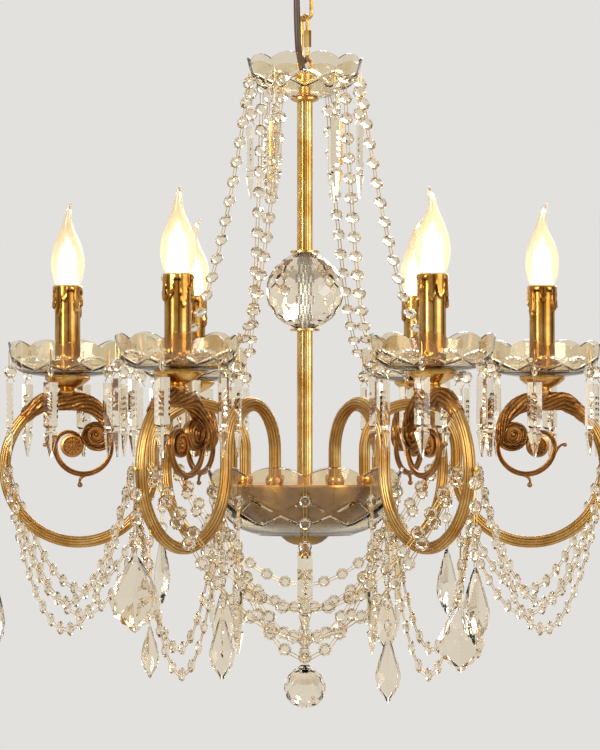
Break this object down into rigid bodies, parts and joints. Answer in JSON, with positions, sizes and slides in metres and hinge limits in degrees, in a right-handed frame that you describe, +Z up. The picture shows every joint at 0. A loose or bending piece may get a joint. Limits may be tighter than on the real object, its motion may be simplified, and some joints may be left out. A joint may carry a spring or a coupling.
{
  "type": "crystal chandelier",
  "caption": "Brass chandelier with scrolled arms, glass drip dishes, candle lamps, a cut glass bowl and ball, bead swags and pendants, hung by a chain from a ceiling canopy.",
  "frame": {"origin": "ceiling plane, on the stem axis, midway between the two ceiling screws", "axes": "+Z up to the ceiling, arm 1 along +X, the pictured front faces -Y"},
  "size_m": [0.6586, 0.5917, 0.823],
  "materials": {
    "polished_brass": "polished, lacquered",
    "aged_brass": "dark patina on the casting",
    "cut_crystal": "clear, pressed and cut",
    "crystal_stones": "clear, cut facets",
    "zinc_steel": "zinc plated",
    "clear_gasket": "matt",
    "dark_plastic": "matt",
    "white_plastic": "matt",
    "brown_cord": "smooth sheath",
    "lampholder_plastic": "matt",
    "bulb_glass": "clear flame bulb, lit"
  },
  "bodies": {
    "ceiling": {"ceiling_canopy": "polished_brass", "ceiling_crossbar": "zinc_steel", "canopy_screws": "polished_brass", "canopy_loop": "polished_brass", "cord_grip": "dark_plastic", "terminal_block": "white_plastic", "supply_cord": "brown_cord"},
    "chain_link": {"chain_link": "polished_brass"},
    "quick_link": {"quick_link": "polished_brass"},
    "quick_link_sleeve": {"quick_link_sleeve": "polished_brass"},
    "fixture": {"stem_loop": "polished_brass", "top_dish": "cut_crystal", "dish_gasket": "clear_gasket", "dish_flange": "polished_brass", "stem_rod": "zinc_steel", "stem_upper": "polished_brass", "ball_washers": "polished_brass", "crystal_ball": "crystal_stones", "stem_lower": "polished_brass", "hub_plate": "polished_brass", "hub_bowl": "polished_brass", "arm_collars": "polished_brass", "glass_bowl": "cut_crystal", "bottom_cup": "polished_brass", "finial": "polished_brass", "arm_scrolls": "aged_brass", "drip_cups": "polished_brass", "lampholders": "lampholder_plastic", "candle_sleeves": "polished_brass", "strand_beads": "crystal_stones", "bead_pins": "polished_brass", "spear_prisms": "crystal_stones", "bowl_pendants": "crystal_stones", "arm_1": "polished_brass", "arm_2": "polished_brass", "arm_3": "polished_brass", "arm_4": "polished_brass", "arm_5": "polished_brass", "arm_6": "polished_brass", "bobeche_1": "cut_crystal", "bobeche_2": "cut_crystal", "bobeche_3": "cut_crystal", "bobeche_4": "cut_crystal", "bobeche_5": "cut_crystal", "bobeche_6": "cut_crystal"},
    "bulb_1": {"bulb_1": "bulb_glass"},
    "bulb_2": {"bulb_2": "bulb_glass"},
    "bulb_3": {"bulb_3": "bulb_glass"},
    "bulb_4": {"bulb_4": "bulb_glass"},
    "bulb_5": {"bulb_5": "bulb_glass"},
    "bulb_6": {"bulb_6": "bulb_glass"},
    "pendant_1": {"pendant_1": "crystal_stones"},
    "pendant_2": {"pendant_2": "crystal_stones"},
    "pendant_3": {"pendant_3": "crystal_stones"},
    "pendant_4": {"pendant_4": "crystal_stones"},
    "pendant_5": {"pendant_5": "crystal_stones"},
    "pendant_6": {"pendant_6": "crystal_stones"},
    "pendant_7": {"pendant_7": "crystal_stones"},
    "pendant_8": {"pendant_8": "crystal_stones"},
    "bottom_drop": {"bottom_drop": "crystal_stones"}
  },
  "joints": [
    {"name": "link_in_ceiling_loop", "type": "hinge", "parent": "ceiling", "child": "chain_link", "pos_m": [0, 0, -0.082], "axis": [0, 1, 0], "range_deg": [-10, 10], "deforming": ["supply_cord"]},
    {"name": "quick_link_in_link", "type": "hinge", "parent": "chain_link", "child": "quick_link", "pos_m": [0, 0, -0.118], "axis": [1, 0, 0], "range_deg": [-10, 10], "deforming": ["supply_cord"]},
    {"name": "stem_in_quick_link", "type": "hinge", "parent": "quick_link", "child": "fixture", "pos_m": [0, 0, -0.1627], "axis": [0.3907, -0.9205, 0], "range_deg": [-10, 10], "deforming": ["supply_cord"]},
    {"name": "sleeve_up_the_link", "type": "slide", "parent": "quick_link", "child": "quick_link_sleeve", "axis": [0, 0, 1], "range_m": [0, 0.009]},
    {"name": "bulb_1_unscrew", "type": "hinge", "parent": "fixture", "child": "bulb_1", "pos_m": [0.243, 0, -0.3918], "axis": [0, 0, 1], "range_deg": [0, 1080]},
    {"name": "bulb_2_unscrew", "type": "hinge", "parent": "fixture", "child": "bulb_2", "pos_m": [0.1215, 0.21044, -0.3918], "axis": [0, 0, 1], "range_deg": [0, 1080]},
    {"name": "bulb_3_unscrew", "type": "hinge", "parent": "fixture", "child": "bulb_3", "pos_m": [-0.1215, 0.21044, -0.3918], "axis": [0, 0, 1], "range_deg": [0, 1080]},
    {"name": "bulb_4_unscrew", "type": "hinge", "parent": "fixture", "child": "bulb_4", "pos_m": [-0.243, 0, -0.3918], "axis": [0, 0, 1], "range_deg": [0, 1080]},
    {"name": "bulb_5_unscrew", "type": "hinge", "parent": "fixture", "child": "bulb_5", "pos_m": [-0.1215, -0.21044, -0.3918], "axis": [0, 0, 1], "range_deg": [0, 1080]},
    {"name": "bulb_6_unscrew", "type": "hinge", "parent": "fixture", "child": "bulb_6", "pos_m": [0.1215, -0.21044, -0.3918], "axis": [0, 0, 1], "range_deg": [0, 1080]},
    {"name": "pendant_1_swing", "type": "hinge", "parent": "fixture", "child": "pendant_1", "pos_m": [0.317, 0, -0.578], "axis": [1, 0, 0], "range_deg": [-20, 20]},
    {"name": "pendant_2_swing", "type": "hinge", "parent": "fixture", "child": "pendant_2", "pos_m": [0.1585, 0.27453, -0.578], "axis": [0.5, 0.866, 0], "range_deg": [-20, 20]},
    {"name": "pendant_3_swing", "type": "hinge", "parent": "fixture", "child": "pendant_3", "pos_m": [-0.1585, 0.27453, -0.578], "axis": [-0.5, 0.866, 0], "range_deg": [-20, 20]},
    {"name": "pendant_4_swing", "type": "hinge", "parent": "fixture", "child": "pendant_4", "pos_m": [-0.317, 0, -0.578], "axis": [-1, 0, 0], "range_deg": [-20, 20]},
    {"name": "pendant_5_swing", "type": "hinge", "parent": "fixture", "child": "pendant_5", "pos_m": [-0.1585, -0.27453, -0.578], "axis": [-0.5, -0.866, 0], "range_deg": [-20, 20]},
    {"name": "pendant_6_swing", "type": "hinge", "parent": "fixture", "child": "pendant_6", "pos_m": [0.1585, -0.27453, -0.578], "axis": [0.5, -0.866, 0], "range_deg": [-20, 20]},
    {"name": "pendant_7_swing", "type": "hinge", "parent": "fixture", "child": "pendant_7", "pos_m": [-0.14574, -0.25243, -0.6344], "axis": [-0.866, 0.5, 0], "range_deg": [-20, 5]},
    {"name": "pendant_8_swing", "type": "hinge", "parent": "fixture", "child": "pendant_8", "pos_m": [0.14574, -0.25243, -0.6344], "axis": [-0.866, -0.5, 0], "range_deg": [-20, 5]},
    {"name": "bottom_drop_swing", "type": "hinge", "parent": "fixture", "child": "bottom_drop", "pos_m": [0, 0, -0.674], "axis": [0, 1, 0], "range_deg": [-20, 20]}
  ]
}
